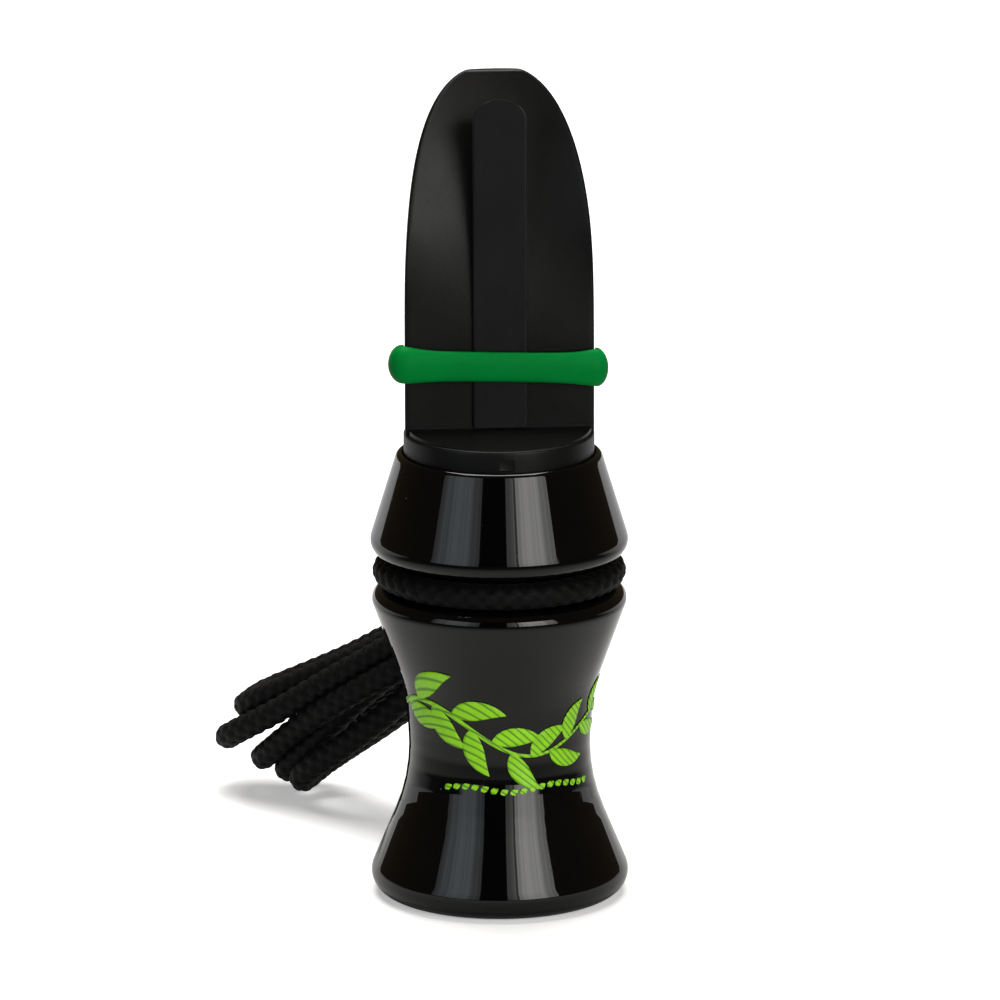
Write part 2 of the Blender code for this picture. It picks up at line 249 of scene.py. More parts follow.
def spun(name, outline, steps, finish, smooth_angle=40.0):
    """A turned body: a closed outline of (r, z) points round the Z axis."""
    verts = []
    for i in range(steps):
        angle = 2.0 * math.pi * i / steps
        c, s = math.cos(angle), math.sin(angle)
        verts += [(p[0] * c, p[0] * s, p[1]) for p in outline]
    return mesh_object(
        name, verts, tube_faces(steps, len(outline), closed=True), finish, smooth_angle,
    )


def smoothed(points, spacing):
    """Points at even spacing on a smooth curve through the given points."""
    p = np.array(points, float)
    p = np.vstack([2.0 * p[0] - p[1], p, 2.0 * p[-1] - p[-2]])
    fine = []
    for a, b, c, d in zip(p, p[1:], p[2:], p[3:]):
        t = np.linspace(0.0, 1.0, 24, endpoint=False)[:, None]
        fine.append(0.5 * (
            2.0 * b + (c - a) * t + (2.0 * a - 5.0 * b + 4.0 * c - d) * t ** 2
            + (3.0 * b - a - 3.0 * c + d) * t ** 3
        ))
    fine = np.vstack([*fine, p[-2]])
    return evenly(fine, spacing)


def evenly(line, spacing):
    """The same line with its points at even spacing."""
    along = np.concatenate([[0.0], np.cumsum(np.linalg.norm(np.diff(line, axis=0), axis=1))])
    count = max(2, int(round(along[-1] / spacing)) + 1)
    wanted = np.linspace(0.0, along[-1], count)
    return np.column_stack([np.interp(wanted, along, line[:, k]) for k in range(3)])


# Materials

class Shader:
    """A Principled material with short ways to add texture nodes, all in object coordinates."""

    def __init__(self, name, **sockets):
        self.material = bpy.data.materials.new(name)
        self.material.use_nodes = True
        self.tree = self.material.node_tree
        self.surface = self.tree.nodes["Principled BSDF"]
        self.where = self.tree.nodes.new("ShaderNodeTexCoord").outputs["Object"]
        self.heights = None
        for socket, value in sockets.items():
            self.surface.inputs[socket.replace("_", " ")].default_value = value

    def node(self, kind, inputs=None, **settings):
        made = self.tree.nodes.new(kind)
        for name, value in settings.items():
            setattr(made, name, value)
        for key, value in (inputs or {}).items():
            if isinstance(value, bpy.types.NodeSocket):
                self.tree.links.new(value, made.inputs[key])
            else:
                made.inputs[key].default_value = value
        return made

    def stretched(self, scale):
        return self.node("ShaderNodeMapping", {"Vector": self.where, "Scale": scale}).outputs[0]

    def noise(self, size, detail=3.0, rough=0.55, where=None):
        """Noise whose features are about size metres across."""
        inputs = {
            "Vector": where or self.where, "Scale": 1.0 / size,
            "Detail": detail, "Roughness": rough,
        }
        return self.node("ShaderNodeTexNoise", inputs).outputs["Fac"]

    def ramp(self, value, low, high, out_low=0.0, out_high=1.0):
        inputs = {
            "Value": value, "From Min": low, "From Max": high,
            "To Min": out_low, "To Max": out_high,
        }
        return self.node("ShaderNodeMapRange", inputs).outputs["Result"]

    def math(self, operation, a, b=0.0, c=0.0):
        return self.node("ShaderNodeMath", {0: a, 1: b, 2: c}, operation=operation).outputs[0]

    def mix(self, factor, low, high):
        made = self.node("ShaderNodeMix", data_type="RGBA")
        sockets = made.inputs[0], made.inputs[6], made.inputs[7]
        for socket, value in zip(sockets, (factor, low, high)):
            if isinstance(value, bpy.types.NodeSocket):
                self.tree.links.new(value, socket)
            elif isinstance(value, tuple):
                socket.default_value = (*value, 1.0)
            else:
                socket.default_value = value
        return made.outputs[2]

    def colour(self, source):
        self.tree.links.new(source, self.surface.inputs["Base Color"])

    def roughness(self, source):
        self.tree.links.new(source, self.surface.inputs["Roughness"])

    def bump(self, height, distance, strength=1.0):
        """Bumps stack: each one starts from the last one's normal."""
        inputs = {"Height": height, "Distance": distance, "Strength": strength}
        if self.heights:
            inputs["Normal"] = self.heights
        self.heights = self.node("ShaderNodeBump", inputs).outputs["Normal"]
        self.tree.links.new(self.heights, self.surface.inputs["Normal"])

    def matte_glow(self):
        """No gloss, and white light whose strength is set or linked by the caller."""
        self.surface.inputs["Specular IOR Level"].default_value = 0.0
        self.surface.inputs["Emission Color"].default_value = WHITE
        return self.surface.inputs["Emission Strength"]

    def lamp(self, colour, strength):
        """Make the whole material a light."""
        self.tree.nodes.remove(self.surface)
        made = self.node("ShaderNodeEmission", {"Color": (*colour, 1.0), "Strength": strength})
        output = next(n for n in self.tree.nodes if n.type == "OUTPUT_MATERIAL")
        self.tree.links.new(made.outputs[0], output.inputs["Surface"])


def acrylic():
    """Polished black acrylic: faint haze and hairline scratches, and a few specks of dust."""
    s = Shader("black_acrylic", Base_Color=(0.0012, 0.0012, 0.0014, 1.0), IOR=1.41)
    haze = s.noise(0.006, 4.0)
    hairlines = s.noise(0.0009, 2.0, 0.5, s.stretched((1.0, 1.0, 0.06)))
    scratched = s.ramp(hairlines, 0.66, 0.74, 0.0, 0.10)
    s.roughness(s.math("ADD", s.ramp(haze, 0.35, 0.75, 0.022, 0.05), scratched))
    cells = s.node("ShaderNodeTexVoronoi", {"Vector": s.where, "Scale": 420.0})
    near = s.math("LESS_THAN", cells.outputs["Distance"], 0.035)
    pick = s.node("ShaderNodeSeparateColor", {"Color": cells.outputs["Color"]}).outputs[0]
    dust = s.math("MULTIPLY", near, s.math("GREATER_THAN", pick, 0.93))
    body = s.mix(haze, (0.0008, 0.0008, 0.0010), (0.0018, 0.0018, 0.0020))
    s.colour(s.mix(dust, body, (0.20, 0.20, 0.19)))
    s.bump(s.noise(0.004, 2.0), 0.0000012)
    return s.material


def moulded_plastic():
    """Black satin injection-moulded plastic: fine spark texture and soft flow marks."""
    s = Shader("black_moulded_plastic", Base_Color=(0.003, 0.003, 0.003, 1.0), IOR=1.28)
    flow = s.noise(0.009, 3.0, 0.5, s.stretched((1.0, 1.0, 0.45)))
    grain = s.noise(0.00028, 3.0, 0.6)
    s.colour(s.mix(flow, (0.0022, 0.0023, 0.0021), (0.0040, 0.0041, 0.0037)))
    s.roughness(s.math(
        "ADD", s.ramp(flow, 0.3, 0.7, 0.36, 0.43), s.ramp(grain, 0.3, 0.7, -0.03, 0.04),
    ))
    s.bump(grain, 0.000016)
    s.bump(s.noise(0.0022, 2.0), 0.000012)
    return s.material


def reed_film():
    """Black polyester reed stock: even satin, with faint lengthwise brushing."""
    s = Shader("black_reed_film", Base_Color=(0.004, 0.004, 0.004, 1.0), IOR=1.33)
    brushed = s.noise(0.00035, 3.0, 0.6, s.stretched((1.0, 1.0, 0.03)))
    cloudy = s.noise(0.006, 2.0)
    s.colour(s.mix(cloudy, (0.0026, 0.0027, 0.0028), (0.0036, 0.0037, 0.0038)))
    s.roughness(s.math(
        "ADD", s.ramp(brushed, 0.3, 0.7, 0.33, 0.41), s.ramp(cloudy, 0.3, 0.7, -0.02, 0.02),
    ))
    s.bump(brushed, 0.000004)
    return s.material


def band_rubber():
    """Green silicone rubber: satin, slightly bloomed, with a fine moulded grain."""
    s = Shader(
        "green_rubber", Base_Color=(0.0, 0.2, 0.03, 1.0), IOR=1.12,
        Subsurface_Weight=0.05, Subsurface_Scale=0.001,
    )
    cloudy = s.noise(0.0035, 3.0)
    grain = s.noise(0.00022, 2.0, 0.6)
    s.colour(s.mix(cloudy, (0.0, 0.185, 0.028), (0.0, 0.235, 0.040)))
    s.roughness(s.ramp(grain, 0.3, 0.7, 0.40, 0.52))
    s.bump(grain, 0.000010)
    s.bump(cloudy, 0.00004)
    return s.material


def seal_rubber():
    """Black nitrile with a film of grease."""
    s = Shader("black_seal_rubber", Base_Color=(0.01, 0.01, 0.01, 1.0), Coat_Weight=0.35)
    grease = s.noise(0.0016, 3.0)
    s.colour(s.mix(grease, (0.009, 0.009, 0.010), (0.016, 0.016, 0.016)))
    s.roughness(s.ramp(grease, 0.3, 0.7, 0.30, 0.55))
    s.bump(s.noise(0.0003, 2.0), 0.000008)
    return s.material


def braided_cord(name, yarn_count=5.0):
    """Black braid: each yarn shows its filaments, which follow whichever yarn lies on top, and the
    hollows between yarns carry painted shade.
    """
    s = Shader(
        name, Base_Color=(0.002, 0.002, 0.002, 1.0), IOR=1.22,
        Sheen_Weight=0.02, Sheen_Roughness=0.4, Sheen_Tint=(0.75, 0.75, 0.72, 1.0),
    )
    braid = s.node("ShaderNodeUVMap", uv_map="braid").outputs["UV"]
    parts = s.node("ShaderNodeSeparateXYZ", {"Vector": braid})
    top = s.node("ShaderNodeAttribute", attribute_name="top_yarn").outputs["Fac"]
    pick = s.math("GREATER_THAN", top, 0.0)
    across = s.node("ShaderNodeMix", data_type="FLOAT")
    s.tree.links.new(pick, across.inputs[0])
    s.tree.links.new(parts.outputs[1], across.inputs[2])
    s.tree.links.new(parts.outputs[0], across.inputs[3])
    strands = s.math("SINE", s.math("MULTIPLY", across.outputs[0], 2.0 * math.pi * yarn_count))
    fuzz = s.noise(0.0002, 3.0, 0.65)
    patch = s.noise(0.005, 2.0)
    crevice_shade = s.node("ShaderNodeAttribute", attribute_name="crevice_shade").outputs["Fac"]
    light = s.mix(patch, (0.0011, 0.0011, 0.0011), (0.0032, 0.0032, 0.0029))
    # Painted shade: the colour goes to near black where the yarns lie deep between their
    # neighbours.
    s.colour(s.mix(s.ramp(crevice_shade, 0.08, 0.42), light, (0.0006, 0.0006, 0.0006)))
    s.roughness(s.ramp(fuzz, 0.3, 0.7, 0.52, 0.72))
    s.bump(strands, 0.000012, 0.8)
    s.bump(fuzz, 0.00005, 0.6)
    return s.material


def print_ink():
    """Lime ink laid on in fine slanting passes, so that the black shows between them."""
    s = Shader("lime_print", Base_Color=(0.28, 0.68, 0.0, 1.0), IOR=1.45)
    wave = {
        "Vector": s.stretched((1.0, 1.0, 1.35)), "Scale": 420.0, "Distortion": 0.6, "Detail": 1.0,
    }
    passes = s.node("ShaderNodeTexWave", wave, bands_direction="DIAGONAL").outputs["Fac"]
    blotch = s.noise(0.0012, 3.0)
    ink = s.mix(blotch, (0.21, 0.56, 0.002), (0.36, 0.80, 0.006))
    s.colour(s.mix(s.ramp(passes, 0.0, 0.35), (0.08, 0.27, 0.002), ink))
    s.roughness(s.ramp(blotch, 0.3, 0.7, 0.36, 0.5))
    s.bump(passes, 0.00003)
    return s.material


def stage_white():
    """The floor as the camera sees it."""
    s = Shader("stage_white", Base_Color=(0.86, 0.86, 0.86, 1.0), Roughness=0.9)
    s.matte_glow().default_value = FLOOR_GLOW
    return s.material


def stage_bounce():
    """The table as the object sees it: pale close by, dark in front, and white far behind."""
    s = Shader("stage_bounce", Roughness=0.9)
    away = s.node("ShaderNodeVectorMath", {0: s.where}, operation="LENGTH").outputs["Value"]
    s.colour(s.mix(s.ramp(away, 0.06, 0.18), (0.56, 0.56, 0.55), (0.05, 0.05, 0.05)))
    back = s.node("ShaderNodeSeparateXYZ", {"Vector": s.where}).outputs[1]
    glow = s.math("ADD", s.ramp(back, 0.03, 0.14, 0.0, 0.75), s.ramp(back, 0.3, 1.2, 0.0, 0.3))
    s.tree.links.new(glow, s.matte_glow())
    return s.material


# Camera, light and floor

def camera():
    data = bpy.data.cameras.new("camera")
    data.lens = LENS
    data.sensor_width = SENSOR
    data.clip_end = 20.0
    made = bpy.data.objects.new("camera", data)
    made.location = CAMERA_AT
    turn = Matrix.Rotation(math.radians(CAMERA_TURN), 3, "Z")
    tilt = Matrix.Rotation(math.radians(90.0 - CAMERA_TILT), 3, "X")
    roll = Matrix.Rotation(math.radians(CAMERA_ROLL), 3, "Z")
    made.rotation_euler = (turn @ tilt @ roll).to_euler()
    bpy.context.scene.collection.objects.link(made)
    bpy.context.scene.camera = made


def panel(name, azimuth, low, high, distance, width, colour, strength, fade, seam=None):
    """A softbox that stands at an azimuth right of the camera and between two heights.

    Its cloth has soft upright streaks, and a dark seam may set off a dimmer strip at one side.
    """
    s = Shader(name)
    parts = s.node("ShaderNodeSeparateXYZ", {"Vector": s.where})
    side = s.math("ABSOLUTE", s.math("DIVIDE", parts.outputs[0], width / 2.0))
    inner = s.ramp(side, 1.0 - fade, 1.0, 1.0, 0.35)
    streaks = s.noise(0.13, 2.0, 0.6, s.stretched((1.0, 0.0, 0.0)))
    inner = s.math("MULTIPLY", inner, s.ramp(streaks, 0.3, 0.7, 0.62, 1.38))
    inner = s.math("MULTIPLY", inner, s.ramp(parts.outputs[2], 0.25, 0.8, 0.92, 1.18))
    if seam is not None:
        past = s.math("SUBTRACT", parts.outputs[0], seam)
        inner = s.math("MULTIPLY", inner, s.ramp(past, 0.0, 0.02, 0.42, 1.0))
        near = s.math("ABSOLUTE", s.math("ADD", past, 0.01))
        inner = s.math("MULTIPLY", inner, s.ramp(near, 0.012, 0.03, 0.3, 1.0))
    s.lamp(colour, s.math("MULTIPLY", inner, strength))
    half = width / 2.0
    mesh = bpy.data.meshes.new(name)
    corners = [(-half, 0, low), (half, 0, low), (half, 0, high), (-half, 0, high)]
    mesh.from_pydata(corners, [], [(0, 1, 2, 3)])
    mesh.materials.append(s.material)
    made = bpy.data.objects.new(name, mesh)
    bpy.context.scene.collection.objects.link(made)
    heading = math.radians(CAMERA_TURN + azimuth)
    made.location = (distance * math.sin(heading), -distance * math.cos(heading), 0.0)
    made.rotation_euler = (0.0, 0.0, heading)
    made.visible_camera = False


def plane(name, size, place, finish):
    bpy.ops.mesh.primitive_plane_add(size=size, location=place)
    made = bpy.context.object
    made.name = name
    made.data.materials.append(finish)
    return made


def overhead(height, size, strength):
    s = Shader("overhead_light")
    s.lamp((1.0, 0.99, 0.97), strength)
    made = plane("overhead_light", size, (0.0, OVERHEAD_BACK, height), s.material)
    made.visible_camera = False


def stage():
    """A white floor that only the camera sees, over a table that only the object sees."""
    floor = plane("floor", 2.0 * FLOOR_HALF, (0.0, 0.0, 0.0), stage_white())
    floor.visible_diffuse = False
    floor.visible_glossy = False
    floor.visible_shadow = False
    table = plane("table", 2.0 * FLOOR_HALF, (0.0, 0.0, -TABLE_DROP), stage_bounce())
    table.visible_camera = False

    world = bpy.data.worlds.new("studio")
    bpy.context.scene.world = world
    world.use_nodes = True
    tree = world.node_tree
    tree.nodes.clear()
    path = tree.nodes.new("ShaderNodeLightPath")
    dim = tree.nodes.new("ShaderNodeBackground")
    dim.inputs["Color"].default_value = WORLD_DIM
    white = tree.nodes.new("ShaderNodeBackground")
    white.inputs["Color"].default_value = WHITE
    white.inputs["Strength"].default_value = WORLD_WHITE
    mixed = tree.nodes.new("ShaderNodeMixShader")
    output = tree.nodes.new("ShaderNodeOutputWorld")
    tree.links.new(path.outputs["Is Camera Ray"], mixed.inputs[0])
    tree.links.new(dim.outputs[0], mixed.inputs[1])
    tree.links.new(white.outputs[0], mixed.inputs[2])
    tree.links.new(mixed.outputs[0], output.inputs["Surface"])

    panel("right_softbox", 30.0, 0.02, 0.84, 1.15, 0.98, (1.0, 0.99, 0.97), 6.4, 0.9, -0.27)
    panel("left_softbox", -40.5, 0.02, 0.80, 1.15, 0.94, (0.86, 0.94, 1.0), 2.0, 0.9)
    panel("dark_card", -5.5, 0.0, 1.2, 1.45, 0.60, (0.0, 0.0, 0.0), 0.0, 0.5)
    overhead(1.3, 1.0, 8.5)
    bpy.context.scene.view_settings.view_transform = "Standard"


# Barrel

def barrel_outline():
    """The section of the barrel as (radius, height, fillet) corners, from the seat outwards."""
    corners = [
        (SEAT_R, RECESS_FLOOR, 0.3),
        (RECESS_R, RECESS_FLOOR, 0.0),
        (RECESS_R, BARREL_TOP, 0.25),
        (15.0, BARREL_TOP, 0.9),
        (19.81, 51.2, 2.4),
        (GROOVE_R, 51.2, 1.5),
        (GROOVE_R, 46.5, 1.5),
        (19.55, 46.5, 1.9),
        (*WAIST_HIGH, 16.0),
        (*WAIST_LOW, 27.0),
        (20.55, 0.0, 3.15),
        (14.2, 0.0, 0.4),
        (BORE_R, 11.5, 14.0),
        (BORE_R, SEAT_FLOOR, 0.0),
        (SEAT_R, SEAT_FLOOR, 0.0),
    ]
    return divided(rounded(corners), PROFILE_SPACING)


def barrel(finish):
    return spun("call_barrel", barrel_outline(), TURN_STEPS, finish)


def barrel_radius(z, outline=None):
    """The barrel's outer radius at a height between its foot and its groove."""
    line = outline or barrel_outline()
    best = 0.0
    for a, b in zip(line, line[1:] + line[:1]):
        if (a.y - z) * (b.y - z) <= 0.0 and abs(a.y - b.y) > 1e-9:
            best = max(best, a.x + (b.x - a.x) * (z - a.y) / (b.y - a.y))
    return best


# Toneboard

def outline_half(z):
    """Half the tongue's width at a height."""
    along = max(0.0, (z - CURVE_START) / OUTLINE_LENGTH)
    return TONGUE_HALF * max(0.0, 1.0 - along ** OUTLINE_POWER) ** OUTLINE_ROUNDNESS


def recession(z):
    """How far the middle of the face has curved back at a height."""
    return max(0.0, z - CURVE_START) ** 2 / (2.0 * CURVE_RADIUS)


def face_y(x, z):
    """The face is flat at the band, and hollow and curved back above it."""
    deep = recession(z)
    full = 1.0 / (2.0 * HOLLOW_RADIUS)
    shallow = deep / outline_half(z) ** 2
    lesser = 0.5 * (full + shallow - math.hypot(full - shallow, HOLLOW_BLEND))
    hollow = lesser * deep / (deep + 0.05)
    return FACE_Y + deep - hollow * x * x


def back_y(z):
    """The tongue's back tapers towards the tip."""
    along = max(0.0, (z - BACK_TAPER_START) / (TONGUE_TOP - BACK_TAPER_START))
    tip = FACE_Y + recession(TONGUE_TOP) + TIP_THICKNESS
    return BACK_Y - (BACK_Y - tip) * along ** BACK_TAPER_POWER


def tongue_section(z, inset=0.0, face_points=44, back_points=60, corner_points=5):
    """A D with rounded corners. The inset draws it in at the rounded tip."""
    half = outline_half(z) - inset
    edge = face_y(outline_half(z), z)
    r = min(TONGUE_EDGE_ROUND, half * 0.2)
    ring = []
    for i in range(face_points + 1):
        x = (half - r) * (2.0 * i / face_points - 1.0)
        ring.append((x, face_y(x, z) + inset, z))
    for i in range(1, corner_points + 1):
        angle = math.pi / 2.0 * i / corner_points
        y = edge + inset + r * (1.0 - math.cos(angle))
        ring.append((half - r + r * math.sin(angle), y, z))
    deep = back_y(z) - inset - (edge + inset + r)
    for i in range(1, back_points):
        angle = math.pi * i / back_points
        ring.append((half * math.cos(angle), edge + inset + r + deep * math.sin(angle), z))
    for i in range(corner_points, 0, -1):
        angle = math.pi / 2.0 * i / corner_points
        y = edge + inset + r * (1.0 - math.cos(angle))
        ring.append((-half + r - r * math.sin(angle), y, z))
    return ring


def tongue():
    rings = []
    sections = 96
    for i in range(sections + 1):
        rise = math.sin(math.pi / 2.0 * i / sections)
        rings.append(tongue_section(TONGUE_ROOT + (TONGUE_TOP - TIP_ROUND - TONGUE_ROOT) * rise))
    for i in range(1, 6):
        angle = math.pi / 2.0 * i / 5
        z = TONGUE_TOP - TIP_ROUND + TIP_ROUND * math.sin(angle)
        rings.append(tongue_section(z, TIP_ROUND * (1.0 - math.cos(angle))))
    verts = [p for ring in rings for p in ring]
    return mesh_object("tongue_tool", verts, tube_faces(len(rings), len(rings[0])), None)


def tool_box(name, low, high, bevel=0.0):
    built = bmesh.new()
    size = Vector(high) - Vector(low)
    bmesh.ops.create_cube(built, size=1.0)
    bmesh.ops.scale(built, verts=built.verts, vec=size)
    bmesh.ops.translate(built, verts=built.verts, vec=(Vector(high) + Vector(low)) / 2.0)
    if bevel:
        bmesh.ops.bevel(
            built, geom=built.edges[:], offset=bevel, segments=3, affect="EDGES", profile=0.5,
        )
    return from_bmesh(name, built)


def shelf_ramp():
    """The shelf rises a little from its rim to the face, and ends there in a fine step."""
    rings = 48
    verts = []
    for i in range(rings):
        x = RAMP_HALF * (2.0 * i / (rings - 1) - 1.0)
        rim = -math.sqrt(RAMP_R ** 2 - x ** 2)
        rise = RAMP_RISE * (rim + RAMP_R) / (RAMP_R + FACE_Y)
        front, back = FACE_Y - RAMP_STEP, FACE_Y + SUNK
        verts += [
            (x, rim, SHELF - SUNK), (x, rim, SHELF - RAMP_SINK + rise),
            (x, front, SHELF - RAMP_SINK + RAMP_RISE), (x, front, SHELF + RAMP_TOP),
            (x, back, SHELF + RAMP_TOP), (x, back, SHELF - SUNK),
        ]
    return mesh_object("ramp_tool", verts, tube_faces(rings, 6), None)


def from_bmesh(name, built):
    bmesh.ops.scale(built, verts=built.verts, vec=(MM, MM, MM))
    mesh = bpy.data.meshes.new(name)
    built.to_mesh(mesh)
    built.free()
    made = bpy.data.objects.new(name, mesh)
    bpy.context.scene.collection.objects.link(made)
    return made


def combine(thing, tools):
    """Apply (operation, tool) pairs as exact booleans, and remove the tools."""
    for operation, tool in tools:
        cut = thing.modifiers.new(tool.name, "BOOLEAN")
        cut.operation = operation
        cut.object = tool
        cut.solver = "EXACT"
    bpy.context.view_layer.update()
    solved = thing.evaluated_get(bpy.context.evaluated_depsgraph_get())
    mesh = bpy.data.meshes.new_from_object(solved)
    thing.modifiers.clear()
    thing.data = mesh
    for _, tool in tools:
        bpy.data.objects.remove(tool, do_unlink=True)
    return thing


def toneboard(finish):
    """Flange and tenon turned in one outline, with the tongue added and the airway cut out."""
    corners = [
        (0.0, SHELF, 0.0),
        (FLANGE_R, SHELF, 0.45),
        (FLANGE_R, FLANGE_BOTTOM, 0.3),
        (TENON_R, FLANGE_BOTTOM, 0.0),
    ]
    for z in SEAL_HEIGHTS.values():
        corners += [
            (TENON_R, z + SEAL_GROOVE_HALF, 0.15),
            (SEAL_GROOVE_R, z + SEAL_GROOVE_HALF, 0.15),
            (SEAL_GROOVE_R, z - SEAL_GROOVE_HALF, 0.15),
            (TENON_R, z - SEAL_GROOVE_HALF, 0.15),
        ]
    corners += [(TENON_R, TENON_BOTTOM, 0.6), (0.0, TENON_BOTTOM, 0.0)]
    outline = divided(rounded(corners, step=12.0), 1.2)
    verts = []
    steps = 128
    inner = [p for p in outline if p.x > 1e-6]
    for i in range(steps):
        angle = 2.0 * math.pi * i / steps
        verts += [(p.x * math.cos(angle), p.x * math.sin(angle), p.y) for p in inner]
    count = len(inner)
    faces = []
    for i in range(steps):
        low, high = i * count, (i + 1) % steps * count
        faces += [(low + j, low + j + 1, high + j + 1, high + j) for j in range(count - 1)]
    top, bottom = len(verts), len(verts) + 1
    verts += [(0.0, 0.0, SHELF), (0.0, 0.0, TENON_BOTTOM)]
    for i in range(steps):
        low, high = i * count, (i + 1) % steps * count
        faces.append((low, high, top))
        faces.append((high + count - 1, low + count - 1, bottom))
    board = mesh_object("call_toneboard", verts, faces, finish)
    way = tool_box(
        "channel_tool", (-CHANNEL_HALF, CHANNEL_FRONT, TENON_BOTTOM - 2.0),
        (CHANNEL_HALF, CHANNEL_BACK, CHANNEL_OPEN_FROM + 1.0),
    )
    mouth = tool_box(
        "channel_mouth_tool", (-CHANNEL_HALF, -CHANNEL_BACK, CHANNEL_OPEN_FROM),
        (CHANNEL_HALF, CHANNEL_BACK, CHANNEL_END),
    )
    round_end = bmesh.new()
    bmesh.ops.create_cone(
        round_end, cap_ends=True, segments=48, radius1=CHANNEL_HALF, radius2=CHANNEL_HALF,
        depth=2.0 * CHANNEL_BACK, matrix=Matrix.Rotation(math.pi / 2.0, 4, "X"),
    )
    bmesh.ops.translate(round_end, verts=round_end.verts, vec=(0.0, 0.0, CHANNEL_END))
    end = from_bmesh("channel_end_tool", round_end)
    middle = Vector((0.0, -FLANGE_R, MARK_HEIGHT))
    half = Vector(MARK_SIZE) / 2.0
    mark = tool_box("index_mark_tool", middle - half, middle + half, 0.12)
    combine(board, [
        ("UNION", tongue()), ("DIFFERENCE", way), ("DIFFERENCE", mouth),
        ("DIFFERENCE", end), ("DIFFERENCE", mark), ("UNION", shelf_ramp()),
    ])
    board.data.shade_smooth()
    board.data.set_sharp_from_angle(angle=math.radians(32.0))
    return board


def seal_ring(name, height, finish):
    """An O-ring in its groove."""
    section = []
    for i in range(20):
        angle = 2.0 * math.pi * i / 20
        section.append(Vector((
            SEAL_R + SEAL_SECTION_R * math.cos(angle), height + SEAL_SECTION_R * math.sin(angle),
        )))
    return spun(name, section, 120, finish)


# Reed

def reed(finish):
    """One strip from its tail on the shelf to its half-round tip, fine enough to bend."""
    half = REED_WIDTH / 2.0
    stations = [(REED_TAIL, half - REED_EDGE), (REED_TAIL + REED_EDGE, half)]
    z = REED_TAIL + 1.0
    while z < REED_TIP - REED_ARC:
        stations.append((z, half))
        z += 1.0
    turns = 20
    for i in range(turns):
        angle = math.pi / 2.0 * i / turns
        stations.append((REED_TIP - REED_ARC + REED_ARC * math.sin(angle), half * math.cos(angle)))
    stations.append((REED_TIP - 0.001, half * 0.03))
    verts = []
    places = (-1.0, -0.95, -0.85, -0.5, 0.0, 0.5, 0.85, 0.95, 1.0)
    edge = 3
    around = 2 * len(places) + 2 * edge
    for z, w in stations:
        e = min(REED_EDGE, w * 0.45)
        front = -REED_BACK - REED_THICKNESS
        ring = [((w - e) * place, front, z) for place in places]
        for i in range(1, edge + 1):
            angle = math.pi * i / (edge + 1)
            ring.append((
                w - e + e * math.sin(angle),
                -REED_BACK - REED_THICKNESS / 2.0 - REED_THICKNESS / 2.0 * math.cos(angle), z,
            ))
        ring += [(-(w - e) * place, -REED_BACK, z) for place in places]
        for i in range(1, edge + 1):
            angle = math.pi * i / (edge + 1)
            ring.append((
                -w + e - e * math.sin(angle),
                -REED_BACK - REED_THICKNESS / 2.0 + REED_THICKNESS / 2.0 * math.cos(angle), z,
            ))
        verts += ring
    return mesh_object("call_reed", verts, tube_faces(len(stations), around), finish, 50.0)


# Tuning band

def band_line():
    """The band's middle line seen from above, as (x, y): straight in front, an arch behind."""
    corner_x, corner_y = BAND_CORNER
    front = corner_y - BAND_LINE_R
    side = corner_x + BAND_LINE_R
    half = []
    steps = 40
    for i in range(steps):
        half.append((corner_x * i / steps, front))
    for i in range(12):
        angle = math.pi / 2.0 * (i / 12 - 1.0)
        c, s = math.cos(angle), math.sin(angle)
        half.append((corner_x + BAND_LINE_R * c, corner_y + BAND_LINE_R * s))
    for i in range(48):
        angle = math.pi / 2.0 * i / 48
        half.append((side * math.cos(angle), corner_y + (BAND_BACK - corner_y) * math.sin(angle)))
    half.append((0.0, BAND_BACK))
    return half + [(-x, y) for x, y in reversed(half[1:-1])]


def tuning_band(finish):
    """A band stretched thin across the face, fat where it turns the tongue's front corners."""
    line = band_line()
    count = len(line)
    verts = []
    around = 28
    corner_x, corner_y = BAND_CORNER
    for i, (x, y) in enumerate(line):
        ahead, back = line[(i + 1) % count], line[i - 1]
        tangent = Vector((ahead[0] - back[0], ahead[1] - back[1])).normalized()
        outward = Vector((tangent.y, -tangent.x))
        near = math.hypot(abs(x) - corner_x - 1.2, y - corner_y - 0.4)
        swell = math.exp(-(near / BAND_SWELL) ** 2)
        behind = min(1.0, max(0.0, (y - corner_y - 1.0) / 4.0))
        flare = BAND_FLARE * min(1.0, abs(x) / corner_x) ** 4
        strip = BAND_FRONT_HALF + flare + (BAND_BACK_HALF - BAND_FRONT_HALF - flare) * behind
        tall = strip + (BAND_BULB_HALF - strip) * swell
        sag = BAND_LEAN * (y - corner_y) + BAND_TWIST * x
        bulb = BAND_BALL - BAND_TWIST * x * BAND_TRIM * (x > 0.0)
        for j in range(around):
            angle = 2.0 * math.pi * j / around
            c, s = math.cos(angle), math.sin(angle)
            flat = math.copysign(abs(c) ** 0.8, c) * BAND_HALF_THICKNESS
            ball = -BAND_HALF_THICKNESS + bulb * max(c, 0.0)
            push = flat + (ball - flat) * swell
            v = math.copysign(abs(s) ** (0.8 + 0.2 * swell), s) * tall
            verts.append((x + outward.x * push, y + outward.y * push, BAND_HEIGHT + v - sag))
    return mesh_object("call_band", verts, tube_faces(count, around, closed=True), finish)


# Cords

def hank_frame():
    """Origin and axes of the folded hank: down its runs, across its fan, and into its depth."""
    top = np.array(HANK_TOP)
    run = np.array(HANK_FOOT) - top
    run /= np.linalg.norm(run)
    depth = np.array(HANK_SPREAD)
    depth = depth - run * depth.dot(run)
    depth /= np.linalg.norm(depth)
    return top, run, np.cross(depth, run), depth


